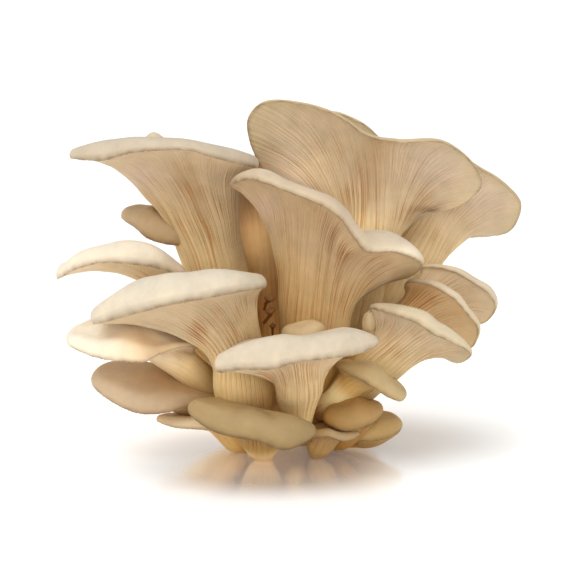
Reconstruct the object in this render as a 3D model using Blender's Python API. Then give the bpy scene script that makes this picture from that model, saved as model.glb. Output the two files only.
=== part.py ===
"""A cut bunch of oyster mushrooms, standing on its own cut base.

Every mushroom is one grown piece: a stem that widens like a trumpet into the gill side, a rounded
margin, and the top of the cap, which dips towards the middle. Lengths are in millimetres in this
file and become metres when a mesh is made. +X is the viewer's right, +Y is away from the front and
+Z is up. The origin is under the middle of the bunch, on the plane that it rests on.
"""
import math

import bmesh
import bpy
from mathutils import Vector

MM = 0.001
GROWTH_GAP = 0.3
STEM_ROWS = 3
FLARE_ROWS = 5
MARGIN_ROWS = 3
TOP_ROWS = 3

# Share of the way along the stem's axis, and back from the margin, where the flare bends.
FLARE_RISE = 0.45
FLARE_REACH = 0.45
# The margin's crest lies this much further in than it is high.
CREST_INSET = 0.8

# stem: centre of each cross-section from the root up, its half width and its half depth.
# rim: points along the margin's gill edge, from the left round the front to the right and the
# back, each with the height of the rounded margin above it.
# hub: the middle of the cap's top.
MUSHROOMS = {
    "tall_left": {
        "stem": [(-9, 4, 7, 6, 6), (-14, 10, 22, 8, 8), (-21, 18, 43, 10, 10), (-26, 20, 64, 12, 11)],
        "rim": [(-83, 6, 112, 4), (-71, -8, 112, 8.5), (-55, -17, 116, 5.5), (-38, -20, 117, 4.5),
                (-23, -17, 113, 5.5), (-11, -3, 109, 5), (-14, 16, 109, 4), (-28, 38, 109, 3),
                (-52, 46, 112, 3), (-73, 30, 111, 3.5)],
        "hub": (-33, 20, 104),
        "columns": 22},
    "tall_centre": {
        "stem": [(6, -4, 11, 7, 7), (10, -8, 31, 10, 9), (11, -11, 49, 13.5, 11)],
        "rim": [(-21, -8, 102, 5), (-13, -22, 106, 5), (-1, -32, 103, 4), (8, -36, 100, 4),
                (15, -37, 97, 4), (21, -36, 92, 4), (26, -34, 85, 4.5), (31, -32, 80, 5.5),
                (42, -27, 79, 5), (52, -14, 73, 2.5), (46, 4, 65, 2.5), (33, 16, 67, 3),
                (14, 18, 84, 3), (-8, 8, 97, 3)],
        "hub": (11, -8, 80),
        "columns": 28},
    "tall_rear": {
        "stem": [(13, 12, 6, 7, 7), (24, 22, 34, 9, 9), (31, 28, 69, 11, 10)],
        "rim": [(-10, 26, 107, 2), (-14, 18, 118, 2), (-14, 14, 127, 2), (-7, 12, 133, 2),
                (7, 12, 132, 2), (21, 14, 127, 2.5), (33, 17, 119, 3), (45, 16, 117, 3),
                (61, 14, 117, 2.5), (73, 16, 109, 2), (77, 19, 100, 2), (70, 22, 92, 2),
                (58, 27, 88, 2), (48, 36, 86, 2), (38, 52, 85, 2.5), (18, 54, 87, 2.5),
                (-4, 41, 95, 2.5)],
        "hub": (30, 34, 98),
        "columns": 28},
    "back_tall": {
        "stem": [(11, 24, 7, 6, 6), (18, 42, 35, 8, 8), (22, 54, 70, 9, 9)],
        "rim": [(-4, 68, 104, 2.5), (4, 56, 120, 2.5), (18, 50, 126, 2.5), (27, 50, 124, 2.5),
                (36, 54, 118, 2.5), (41, 64, 110, 2.5), (32, 86, 108, 3), (11, 90, 108, 3)],
        "hub": (19, 70, 102)},
    "tall_right": {
        "stem": [(17, 14, 5, 6, 6), (34, 30, 35, 8, 8), (49, 38, 63, 10.5, 8)],
        "rim": [(48, 46, 96, 2.5), (64, 40, 110, 2.5), (79, 36, 104, 2.5), (88, 34, 98, 2.5),
                (94, 34, 90, 2.5), (91, 40, 80, 2.5), (83, 50, 76, 2.5), (70, 60, 75, 2.5),
                (55, 64, 79, 2.5)],
        "hub": (69, 50, 88)},
    "right_upper": {
        "stem": [(18, 10, 9, 5, 5), (34, 14, 27, 6, 6), (46, 14, 43, 8, 7)],
        "rim": [(54, 14, 68, 2.5), (64, 5, 68, 3.5), (72, 2, 64, 3.5), (79, 3, 59, 4),
                (82, 9, 52, 3), (77, 18, 45, 3), (68, 32, 47, 3), (56, 32, 59, 3)],
        "hub": (63, 18, 58)},
    "right_middle": {
        "stem": [(16, -2, 11, 5, 5), (31, -1, 28, 6, 6), (41, -2, 41, 8, 7)],
        "rim": [(46, 0, 63, 3), (52, -8, 65, 3.5), (59, -13, 63, 4), (65, -15, 59, 4),
                (70, -14, 53, 3.5), (74, -9, 47, 3), (72, 2, 38, 2.5), (64, 12, 39, 3),
                (52, 12, 52, 3)],
        "hub": (58, 0, 54)},
    "right_lower": {
        "stem": [(15, -10, 14, 6, 6), (25, -13, 24, 8, 7), (36, -16, 35, 9, 8)],
        "rim": [(32, -14, 56, 3), (37, -21, 56, 5), (42, -26, 55, 6), (49, -30, 53, 6.5),
                (55, -32, 49, 6.5), (62, -31, 46, 5), (70, -25, 40, 2), (65, -14, 35, 2),
                (57, -3, 39, 3), (42, -3, 49, 3)],
        "hub": (50, -16, 48)},
    "right_bud": {
        "stem": [(14, -8, 24, 2, 2), (26, -12, 38, 2.8, 2.8), (31, -15, 46, 3, 3)],
        "rim": [(28.4, -16, 50.5, 3.5), (32, -19.5, 50.5, 3.5), (35.6, -16, 50.5, 3.5),
                (32, -12.5, 50.5, 3.5)],
        "hub": (32, -16, 55.5),
        "columns": 12},
    "centre_bud": {
        "stem": [(5, -16, 29, 3, 3), (7, -22, 41, 5, 4)],
        "rim": [(-1, -26, 47, 4.5), (4, -31, 46, 5), (10, -32, 47, 5), (15, -28, 49, 4.5),
                (12, -20, 49, 5), (5, -20, 48, 5)],
        "hub": (8, -25, 53),
        "columns": 16},
    "front_centre": {
        "stem": [(5, -16, 8, 5, 5), (5, -26, 16, 5.5, 5), (5, -38, 30, 9, 7)],
        "rim": [(-25, -48, 38, 7), (-16, -57, 40, 10), (-5, -62, 41, 11), (5, -64, 44, 8.5),
                (18, -61, 45, 8.5), (28, -55, 46, 9), (34, -46, 48, 4), (24, -34, 48, 5),
                (6, -30, 44, 5), (-14, -34, 43, 5)],
        "hub": (6, -44, 48),
        "reach": 0.65,
        "rise": 0.3,
        "columns": 22},
    "front_left": {
        "stem": [(-9, -10, 11, 7, 7), (-13, -20, 21, 9.5, 8), (-17, -26, 35, 10, 8)],
        "rim": [(-72, -26, 52, 7), (-59, -39, 57, 12), (-44, -47, 62, 11), (-29, -49, 65, 10.5),
                (-16, -45, 67, 9), (-7, -32, 67, 6), (-13, -14, 66, 4), (-31, -3, 62, 4),
                (-52, -2, 58, 4), (-66, -10, 55, 4)],
        "hub": (-28, -24, 64),
        "columns": 22},
    "left_middle": {
        "stem": [(-13, 2, 10, 5, 5), (-22, 5, 31, 6.5, 7), (-33, 6, 50, 7, 7)],
        "rim": [(-88, 2, 65, 7), (-81, -10, 70, 7.5), (-70, -18, 74, 7.5), (-58, -21, 74, 9),
                (-45, -17, 71, 9), (-38, -4, 66, 5), (-44, 16, 68, 4), (-63, 22, 70, 4),
                (-81, 16, 68, 4)],
        "hub": (-56, 0, 74),
        "reach": 0.55,
        "columns": 22},
    "left_small": {
        "stem": [(-12, 10, 10, 5, 5), (-22, 20, 38, 6, 6), (-31, 28, 66, 7, 7)],
        "rim": [(-65, 30, 86, 4), (-59, 20, 83, 8), (-53, 15, 79, 9), (-43, 14, 77, 8),
                (-34, 24, 78, 5), (-38, 42, 86, 4), (-51, 48, 86, 4), (-62, 42, 87, 4)],
        "hub": (-48, 32, 90),
        "reach": 0.6,
        "rise": 0.35},
    "left_low": {
        "stem": [(-15, -6, 12, 5, 5), (-27, -11, 24, 6, 6), (-38, -14, 34, 6.5, 6)],
        "rim": [(-83, -17, 44, 4), (-73, -27, 40, 6), (-62, -33, 39, 7), (-53, -32, 38.5, 6),
                (-47, -25, 40.5, 3), (-40, -20, 42, 2), (-33, -12, 42, 2), (-42, 0, 46, 3),
                (-59, 8, 48, 4), (-74, -1, 48, 4)],
        "hub": (-58, -12, 52.5),
        "columns": 20},
    "left_lowest": {
        "stem": [(-14, -5, 8, 4, 4), (-20, -7, 10, 4.5, 4), (-26, -9, 13, 5, 4)],
        "rim": [(-74, -14, 28, 4), (-68, -24, 23.5, 6), (-56, -31, 19, 7), (-45, -31, 19, 6.5),
                (-36, -26, 21, 4), (-27, -18, 21.5, 2), (-22, -8, 22, 2), (-34, 5, 26, 3),
                (-55, 14, 28, 4), (-69, 2, 30, 4)],
        "hub": (-48, -8, 32),
        "columns": 20},
    "bottom_front": {
        "stem": [(-8, -26, 0, 3, 3), (-8.5, -27, 4, 5.6, 5), (-9, -31, 9, 8.3, 6.5)],
        "rim": [(-36, -38, 21, 5), (-29, -45, 16, 9), (-20, -51, 14, 10), (-10, -55, 13, 10),
                (-1, -56, 10, 10.5), (7, -53, 12, 9), (11, -44, 14, 4), (3, -34, 13, 5),
                (-13, -30, 15, 6), (-28, -29, 20, 6)],
        "hub": (-13, -42, 24),
        "columns": 22},
    "bottom_left": {
        "stem": [(-17, -12, 0, 2.5, 2.5), (-18.5, -12.5, 3, 3.8, 3.6), (-21, -14, 6.5, 4.2, 3.6)],
        "rim": [(-49, -16, 13, 2.5), (-42, -24, 12, 4), (-32, -28, 12, 4.5), (-25, -26, 11, 4),
                (-19, -16, 11, 3), (-31, -5, 11, 3), (-44, -8, 12, 3)],
        "hub": (-36, -15, 15),
        "reach": 0.7,
        "rise": 0.2,
        "columns": 18},
    "bottom_right": {
        "stem": [(12, -23, 0, 2.5, 2.5), (12.5, -23.5, 3, 4.4, 4), (13.5, -24.5, 5.5, 5.2, 4.4)],
        "rim": [(5.5, -27, 8.5, 2.5), (11, -34, 10, 3), (16, -37, 11, 3), (22, -36, 9, 3.5),
                (28, -29, 10, 2.5), (23, -17, 10, 2.5), (12, -15, 9.5, 2.5)],
        "hub": (17, -28, 12),
        "columns": 18},
    "right_oval": {
        "stem": [(12, -6, 5, 4, 4), (21, -17, 6, 4, 4), (25, -22, 10, 4.5, 4)],
        "rim": [(15, -26, 15, 6), (19, -33, 13, 8), (26, -35, 13, 9), (33, -32, 15, 9),
                (37, -24, 18, 5), (33, -13, 17, 5), (21, -14, 16, 5)],
        "hub": (27, -23, 24),
        "columns": 18},
    "right_back": {
        "stem": [(14, -2, 4.5, 3, 3), (20, -5, 3.6, 3, 3), (27, -9, 3.8, 3.2, 3)],
        "rim": [(20, -14, 9, 3), (26, -22, 7, 4.5), (33, -23, 6.5, 6), (40, -18, 7, 6.5),
                (45, -9, 9, 4), (40, 3, 10, 4), (27, 3, 10, 4)],
        "hub": (33, -8, 14),
        "columns": 18},
    "right_small": {
        "stem": [(14, -12, 16, 5, 5), (20, -18, 22, 5.5, 5), (25, -22, 28, 5.5, 5)],
        "rim": [(19, -28, 36, 4), (25, -36, 34, 6), (32, -39, 30.5, 7), (38, -38, 26.5, 6),
                (43, -34, 24, 4), (45, -27, 24.5, 3), (42, -19, 27, 3), (33, -14, 32, 3),
                (23, -17, 35, 3)],
        "hub": (33, -26, 38)},
    "rear_left": {
        "stem": [(0, 16, 7, 5, 5), (-5, 26, 37, 7, 7), (-9, 34, 71, 9, 8)],
        "rim": [(-30, 58, 98, 2.5), (-21, 42, 104, 2.5), (-13, 33, 107, 2.5), (-8, 31, 108, 2.5),
                (-6, 38, 104, 2.5), (-11, 60, 100, 2.5), (-17, 78, 100, 3), (-28, 74, 98, 3)],
        "hub": (-17, 54, 98)},
    "rear_left_tall": {
        "stem": [(-8, 20, 6, 6, 6), (-24, 40, 38, 7, 7), (-38, 58, 78, 9, 8)],
        "rim": [(-63, 66, 104, 3), (-55, 52, 115.5, 3.5), (-44, 50, 110, 3), (-34, 56, 105, 3),
                (-34, 78, 100, 3), (-44, 94, 98, 4), (-60, 86, 100, 4)],
        "hub": (-47, 70, 98)},
    "rear_right": {
        "stem": [(12, 24, 6, 6, 6), (22, 42, 28, 7, 7), (40, 58, 40, 8, 8)],
        "rim": [(28, 66, 53, 3), (46, 58, 56, 3), (60, 60, 56, 3), (70, 70, 53, 3),
                (66, 86, 50, 4), (46, 92, 48, 4), (30, 82, 49, 4)],
        "hub": (50, 74, 51)},
    "rear_middle": {
        "stem": [(2, 24, 7, 6, 6), (4, 46, 22, 8, 8), (5, 60, 38, 10, 9)],
        "rim": [(-20, 70, 52, 3), (-6, 60, 55, 3), (12, 60, 55, 3), (24, 70, 52, 3),
                (20, 88, 47, 4), (2, 95, 45, 4), (-14, 86, 47, 4)],
        "hub": (4, 76, 50)},
    "rear_left_low": {
        "stem": [(-12, 20, 5, 5, 5), (-28, 34, 18, 7, 7), (-40, 44, 30, 8, 8)],
        "rim": [(-72, 48, 42, 4), (-58, 38, 44, 4), (-42, 40, 44, 4), (-30, 50, 42, 4),
                (-36, 68, 38, 4), (-52, 74, 36, 4), (-68, 64, 38, 4)],
        "hub": (-52, 54, 44)},
    "rear_right_low": {
        "stem": [(12, 14, 4, 4, 4), (21, 32, 6, 4, 4), (26, 39, 10, 4.5, 4)],
        "rim": [(16, 40, 15, 3), (23, 30, 16, 3), (32, 29, 16, 3), (38, 38, 15, 3),
                (36, 49, 13, 3), (28, 53, 12, 3), (19, 49, 13, 3)],
        "hub": (28, 40, 18)},
    "rear_low": {
        "stem": [(-4, 26, 8, 5, 5), (-12, 40, 10, 6, 6), (-16, 50, 17, 7, 7)],
        "rim": [(-34, 56, 26, 3), (-24, 46, 28, 3), (-10, 48, 28, 3), (0, 58, 26, 3),
                (-6, 72, 21, 4), (-20, 76, 20, 4), (-32, 68, 22, 4)],
        "hub": (-17, 60, 28)},
}

# The base: height, centre and half sizes of each level, from the cut face up.
BASE_LEVELS = [(0, 0, 13, 17, 15), (5, 0, 12, 20, 18), (12, 1, 8, 22, 20), (20, 1, 5, 22, 20),
               (28, 0, 4, 17, 16), (33, 0, 4, 9, 9)]
BASE_COLUMNS = 20

# Which neighbours each mushroom grew up against and gives way to, besides the base.
GIVES_WAY_TO = {
    "left_lowest": ["front_left"],
    "left_low": ["front_left", "left_lowest"],
    "front_left": ["front_centre"],
    "bottom_left": ["left_lowest"],
    "bottom_right": ["front_centre", "bottom_front"],
    "right_oval": ["tall_centre", "bottom_right", "right_small"],
    "right_back": ["right_oval", "right_lower", "right_middle", "bottom_right"],
    "right_small": ["tall_centre"],
    "right_lower": ["tall_centre", "right_small", "right_oval", "bottom_right"],
    "centre_bud": ["tall_centre", "front_centre"],
    "right_bud": ["tall_centre", "right_lower"],
    "left_middle": ["front_left", "left_low", "left_lowest"],
    "tall_left": ["left_middle"],
    "right_middle": ["tall_centre", "right_lower"],
    "right_upper": ["right_middle"],
    "tall_rear": ["right_upper"],
    "left_small": ["tall_left", "left_middle"],
    "tall_right": ["tall_rear", "right_upper"],
    "back_tall": ["tall_rear", "tall_right"],
    "rear_left": ["tall_left"],
    "rear_left_tall": ["rear_left", "tall_left"],
    "rear_right": ["tall_rear", "tall_right", "back_tall"],
    "rear_middle": ["back_tall", "rear_left"],
    "rear_left_low": ["rear_left_tall", "left_small"],
    "rear_right_low": ["tall_rear", "right_upper", "tall_right", "rear_right", "back_tall"],
    "rear_low": ["rear_left_tall", "rear_middle", "rear_left_low"],
}

SKIN = (0.78, 0.66, 0.52)


def clear_scene():
    for item in list(bpy.data.objects):
        bpy.data.objects.remove(item, do_unlink=True)


def vectors(points):
    return [Vector(point[:3]) for point in points]


def loop_at(values, place):
    """A smooth closed curve through the values, at place 0 to 1."""
    count = len(values)
    whole = int(math.floor(place * count))
    part = place * count - whole
    before, start, end, after = [values[(whole + step) % count] for step in (-1, 0, 1, 2)]
    slope_in = (end - before) * 0.5
    slope_out = (after - start) * 0.5
    square = part * part
    cube = square * part
    return (start * (2 * cube - 3 * square + 1) + slope_in * (cube - 2 * square + part)
            + end * (3 * square - 2 * cube) + slope_out * (cube - square))


def path_at(values, place):
    """A smooth open curve through the values, at place 0 to 1."""
    spans = len(values) - 1
    whole = min(int(place * spans), spans - 1)
    part = place * spans - whole
    start, end = values[whole], values[whole + 1]
    before = values[whole - 1] if whole > 0 else start * 2 - end
    after = values[whole + 2] if whole + 2 <= spans else end * 2 - start
    slope_in = (end - before) * 0.5
    slope_out = (after - start) * 0.5
    square = part * part
    cube = square * part
    return (start * (2 * cube - 3 * square + 1) + slope_in * (cube - 2 * square + part)
            + end * (3 * square - 2 * cube) + slope_out * (cube - square))


def bend(start, leave, arrive, end, place):
    """A point on the curve from start to end that leaves and arrives by two handles."""
    rest = 1 - place
    return (start * rest ** 3 + leave * 3 * rest ** 2 * place
            + arrive * 3 * rest * place ** 2 + end * place ** 3)


def loop_normal(points):
    total = Vector((0, 0, 0))
    for first, second in zip(points, points[1:] + points[:1]):
        total += first.cross(second)
    return total.normalized()


def even_rim(rim, columns):
    """Points and margin heights at even distances round the rim."""
    places = vectors(rim)
    heights = [point[3] for point in rim]
    fine = [loop_at(places, step / 400) for step in range(401)]
    lengths = [0.0]
    for first, second in zip(fine, fine[1:]):
        lengths.append(lengths[-1] + (second - first).length)
    points, highs = [], []
    mark = 0
    for column in range(columns):
        wanted = lengths[-1] * column / columns
        while lengths[mark + 1] < wanted:
            mark += 1
        along = (mark + (wanted - lengths[mark]) / (lengths[mark + 1] - lengths[mark])) / 400
        points.append(loop_at(places, along))
        highs.append(loop_at(heights, along))
    return points, highs


def angles_round(points, side, deep):
    """The direction of each rim point round the stem, half by angle and half by distance."""
    middle = sum(points, Vector((0, 0, 0))) / len(points)
    angles = []
    for point in points:
        angle = math.atan2((point - middle).dot(deep), (point - middle).dot(side))
        while angles and angle < angles[-1] - math.pi:
            angle += 2 * math.pi
        while angles and angle > angles[-1] + math.pi:
            angle -= 2 * math.pi
        angles.append(angle)
    first = angles[0]
    return [0.5 * angle + 0.5 * (first + 2 * math.pi * column / len(points))
            for column, angle in enumerate(angles)]


def stem_frame(path, place):
    """The stem's direction at a place on it, and the two directions across it."""
    along = path_at(path, min(place + 0.02, 1)) - path_at(path, max(place - 0.02, 0))
    along.normalize()
    if place == 0 and path[0].z < 1:
        along = Vector((0, 0, 1))
    side = Vector((1, 0, 0))
    side = (side - along * side.dot(along)).normalized()
    return along, side, along.cross(side)


def mushroom_rows(plan):
    """Rings of points from the root up the stem, out to the margin and in over the cap."""
    columns = plan.get("columns", 18)
    path = vectors(plan["stem"])
    widths = [point[3] for point in plan["stem"]]
    depths = [point[4] for point in plan["stem"]]
    rim, heights = even_rim(plan["rim"], columns)
    up = loop_normal(rim)
    middle = sum(rim, Vector((0, 0, 0))) / columns
    neck = path[-1]
    axis, side, deep = stem_frame(path, 1)
    angles = angles_round(rim, side, deep)
    rows = []
    for row in range(STEM_ROWS + 1):
        place = row / STEM_ROWS
        centre = path_at(path, place)
        along, side, deep = stem_frame(path, place)
        wide = path_at(widths, place)
        thick = path_at(depths, place)
        rows.append([centre + side * (wide * math.cos(angle)) + deep * (thick * math.sin(angle))
                     for angle in angles])
    collar = rows[-1]
    for row in range(1, FLARE_ROWS + 1):
        ring = []
        for start, edge in zip(collar, rim):
            rise = (edge - neck).dot(axis)
            out = (edge - neck) - axis * rise
            leave = start + axis * (plan.get("rise", FLARE_RISE) * max(rise, 0.3 * out.length))
            arrive = edge - out * plan.get("reach", FLARE_REACH) - up * (0.05 * out.length)
            ring.append(bend(start, leave, arrive, edge, row / FLARE_ROWS))
        rows.append(ring)
    crests, inwards = [], []
    for edge, high in zip(rim, heights):
        inward = middle - edge
        inward = (inward - up * inward.dot(up)).normalized()
        inwards.append(inward)
        crests.append(edge + up * high + inward * (high * CREST_INSET))
    for row in range(1, MARGIN_ROWS + 1):
        turn = 0.5 * math.pi * row / MARGIN_ROWS
        rows.append([edge + up * (high * math.sin(turn))
                     + inward * (high * CREST_INSET * (1 - math.cos(turn)))
                     for edge, high, inward in zip(rim, heights, inwards)])
    hub = Vector(plan["hub"])
    for row in range(1, TOP_ROWS):
        ring = []
        for crest, inward in zip(crests, inwards):
            reach = (hub - crest).length
            leave = crest + inward * (0.4 * reach)
            arrive = hub - inward * (0.35 * reach)
            ring.append(bend(crest, leave, arrive, hub, row / TOP_ROWS))
        rows.append(ring)
    return path[0], rows, hub


def base_rows():
    rows = []
    for level, across, back, wide, deep in BASE_LEVELS:
        ring = []
        for column in range(BASE_COLUMNS):
            angle = 2 * math.pi * column / BASE_COLUMNS
            lump = 1 + 0.06 * math.sin(3 * angle + 0.2 * level) + 0.04 * math.sin(5 * angle)
            ring.append(Vector((across + wide * lump * math.cos(angle),
                                back + deep * lump * math.sin(angle), level)))
        rows.append(ring)
    low, high = BASE_LEVELS[0], BASE_LEVELS[-1]
    return Vector((low[1], low[2], 0)), rows, Vector((high[1], high[2], high[0] + 2))


def closed_mesh(name, first, rows, last):
    """A closed skin from the first point over the rows of points to the last."""
    columns = len(rows[0])
    points = [first] + [point for row in rows for point in row] + [last]
    faces = []
    for column in range(columns):
        following = (column + 1) % columns
        faces.append((0, 1 + following, 1 + column))
        for row in range(len(rows) - 1):
            low = 1 + row * columns
            high = low + columns
            faces.append((low + column, low + following, high + following, high + column))
        top = 1 + (len(rows) - 1) * columns
        faces.append((top + column, top + following, len(points) - 1))
    mesh = bpy.data.meshes.new(name)
    mesh.from_pydata([point * MM for point in points], [], faces)
    mesh.validate()
    mesh.shade_smooth()
    return mesh


def swollen(mesh, name):
    """A copy of the mesh with its skin moved out by the growth gap."""
    copy = mesh.copy()
    copy.name = name
    shape = bmesh.new()
    shape.from_mesh(copy)
    bmesh.ops.recalc_face_normals(shape, faces=shape.faces)
    shape.normal_update()
    moves = []
    for vertex in shape.verts:
        lean = min(vertex.normal.dot(face.normal) for face in vertex.link_faces)
        moves.append(vertex.normal * (GROWTH_GAP * MM * 1.1 / max(lean, 0.7)))
    for vertex, move in zip(shape.verts, moves):
        vertex.co += move
    shape.to_mesh(copy)
    shape.free()
    return copy


def place(name, mesh):
    item = bpy.data.objects.new(name, mesh)
    bpy.context.scene.collection.objects.link(item)
    return item


def flesh(name):
    paint = bpy.data.materials.new(name + "_flesh")
    paint.use_nodes = True
    shader = paint.node_tree.nodes["Principled BSDF"]
    shader.inputs["Base Color"].default_value = (*SKIN, 1)
    shader.inputs["Roughness"].default_value = 0.6
    return paint


def outward(mesh):
    shape = bmesh.new()
    shape.from_mesh(mesh)
    bmesh.ops.triangulate(shape, faces=shape.faces)
    bmesh.ops.recalc_face_normals(shape, faces=shape.faces)
    shape.to_mesh(mesh)
    shape.free()


def islands(shape):
    """The separate parts of a mesh, each as a list of its points."""
    left = set(shape.verts)
    groups = []
    while left:
        start = min(left, key=lambda vertex: vertex.index)
        left.remove(start)
        group, reach = [start], [start]
        while reach:
            vertex = reach.pop()
            for edge in vertex.link_edges:
                other = edge.other_vert(vertex)
                if other in left:
                    left.remove(other)
                    group.append(other)
                    reach.append(other)
        groups.append(group)
    return groups


def keep_largest(mesh):
    shape = bmesh.new()
    shape.from_mesh(mesh)
    shape.verts.index_update()
    groups = sorted(islands(shape), key=len)
    for group in groups[:-1]:
        bmesh.ops.delete(shape, geom=group, context="VERTS")
    bmesh.ops.remove_doubles(shape, verts=shape.verts, dist=0.00002)
    shape.to_mesh(mesh)
    shape.free()


def carve(item, cutters):
    """Takes the swollen neighbours out of a mushroom, so that the gap stays between them."""
    for cutter in cutters:
        cut = item.modifiers.new("beside_" + cutter.name, "BOOLEAN")
        cut.operation = "DIFFERENCE"
        cut.solver = "EXACT"
        cut.use_self = True
        cut.object = cutter
    bpy.context.view_layer.update()
    seen = item.evaluated_get(bpy.context.evaluated_depsgraph_get())
    mesh = bpy.data.meshes.new_from_object(seen)
    item.modifiers.clear()
    item.data = mesh
    keep_largest(mesh)
    mesh.shade_smooth()


def build():
    clear_scene()
    meshes = {"base": closed_mesh("base", *base_rows())}
    for name, plan in MUSHROOMS.items():
        meshes[name] = closed_mesh(name, *mushroom_rows(plan))
    cutters = {}
    for name, mesh in meshes.items():
        outward(mesh)
        cutter = place("room_" + name, swollen(mesh, "room_" + name))
        cutter.hide_render = True
        cutter.display_type = "WIRE"
        cutters[name] = cutter
    for name, mesh in meshes.items():
        item = place(name, mesh)
        if name != "base":
            carve(item, [cutters[other] for other in ["base"] + GIVES_WAY_TO.get(name, [])])
        item.data.materials.clear()
        item.data.materials.append(flesh(name))
    for cutter in cutters.values():
        bpy.data.objects.remove(cutter, do_unlink=True)


build()
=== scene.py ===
"""The looks of a cut bunch of oyster mushrooms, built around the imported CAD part.

Lengths in the tables are millimetres in the CAD's frame. Each mushroom is one skin: a ribbed
stem that opens into the gills, a rounded margin, and a smooth cap.
"""
import math

import bpy
import numpy as np
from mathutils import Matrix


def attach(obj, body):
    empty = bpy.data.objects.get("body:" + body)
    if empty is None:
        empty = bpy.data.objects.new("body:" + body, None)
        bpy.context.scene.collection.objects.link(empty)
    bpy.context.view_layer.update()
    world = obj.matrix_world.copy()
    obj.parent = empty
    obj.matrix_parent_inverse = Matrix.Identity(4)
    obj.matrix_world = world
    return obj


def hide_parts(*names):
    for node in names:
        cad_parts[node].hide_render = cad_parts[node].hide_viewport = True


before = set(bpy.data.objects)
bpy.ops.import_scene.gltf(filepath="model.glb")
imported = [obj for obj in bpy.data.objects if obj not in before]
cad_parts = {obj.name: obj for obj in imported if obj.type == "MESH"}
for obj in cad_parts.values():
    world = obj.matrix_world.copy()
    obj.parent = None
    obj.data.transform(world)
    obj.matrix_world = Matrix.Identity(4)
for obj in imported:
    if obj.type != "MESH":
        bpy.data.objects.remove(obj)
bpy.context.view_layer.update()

MM = 0.001

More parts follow.
